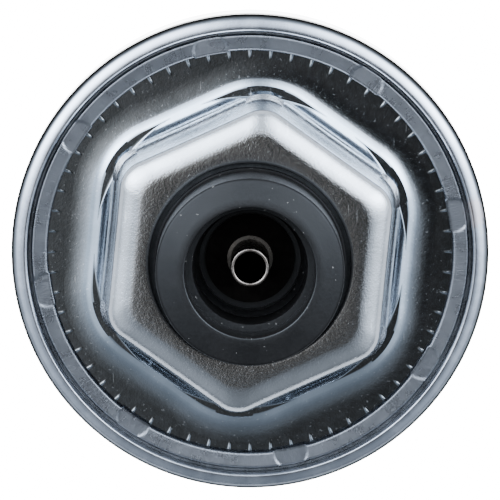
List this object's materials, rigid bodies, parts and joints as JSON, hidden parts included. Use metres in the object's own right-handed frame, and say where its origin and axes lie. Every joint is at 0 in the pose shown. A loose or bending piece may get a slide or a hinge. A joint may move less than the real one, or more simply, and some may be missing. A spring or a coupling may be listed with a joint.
{
  "type": "oil pressure sender",
  "caption": "Round crimped-can oil pressure sender with a tapered port thread below, a hexagonal drive cover on top and a black round socket with one tubular pin.",
  "frame": {"origin": "on the sender's axis, at the lower end of the port thread", "axes": "+Z along the axis from the port thread to the connector's open face; +X towards the pusher's side of the rocker, -X towards the resistor card"},
  "size_m": [0.0476, 0.0476, 0.0616],
  "materials": {
    "zinc_can": "bright zinc plate, drawn and crimped",
    "zinc_hex": "satin zinc plate with fine grain",
    "zinc_port": "turned and zinc plated",
    "black_plastic": "moulded black, faintly grained",
    "tin_pin": "tin plated, warm grey",
    "washer_steel": "dark passivated steel",
    "seal_rubber": "black nitrile",
    "spring_steel": "oiled spring wire",
    "plain_steel": "plain stamped and drawn sheet",
    "diaphragm_steel": "bright rolled stainless foil",
    "brass": "turned and stamped brass",
    "insulator": "brown laminated board",
    "resistance_wire": "drawn resistance wire"
  },
  "bodies": {
    "sender": {"port_fitting": "zinc_port", "pressure_snubber": "brass", "base_can": "zinc_can", "diaphragm_gasket": "seal_rubber", "diaphragm": "diaphragm_steel", "diaphragm_support": "plain_steel", "guide_bush": "brass", "range_spring": "spring_steel", "spacer_sleeve": "plain_steel", "mechanism_frame": "brass", "frame_rivets": "plain_steel", "pivot_pin": "plain_steel", "pivot_clips": "spring_steel", "return_spring": "spring_steel", "card_holder": "insulator", "resistor_card": "insulator", "resistor_winding": "resistance_wire", "contact_strap": "brass", "terminal_pin": "tin_pin", "terminal_washer": "washer_steel", "connector_body": "black_plastic", "connector_seal": "seal_rubber", "cover_gasket": "seal_rubber", "hex_cover": "zinc_hex"},
    "pusher": {"pusher": "plain_steel"},
    "rocker": {"rocker": "brass", "calibration_screw": "plain_steel", "wiper_arm": "brass", "wiper_rivets": "plain_steel", "wiper_contact": "brass"}
  },
  "joints": [
    {"name": "pusher_slide", "type": "slide", "parent": "sender", "child": "pusher", "axis": [0, 0, 1], "range_m": [0, 0.001], "stiffness_N_per_m": 1750, "springref_m": -0.003, "deforming": ["range_spring"]},
    {"name": "rocker_turn", "type": "hinge", "parent": "sender", "child": "rocker", "pos_m": [-0.0025, 0, 0.03604], "axis": [0, -1, 0], "range_deg": [0, 23.1], "deforming": ["return_spring"]}
  ],
  "couplings": [
    {"joint": "rocker_turn", "follows": "pusher_slide", "rad_per_m": 402.7}
  ]
}
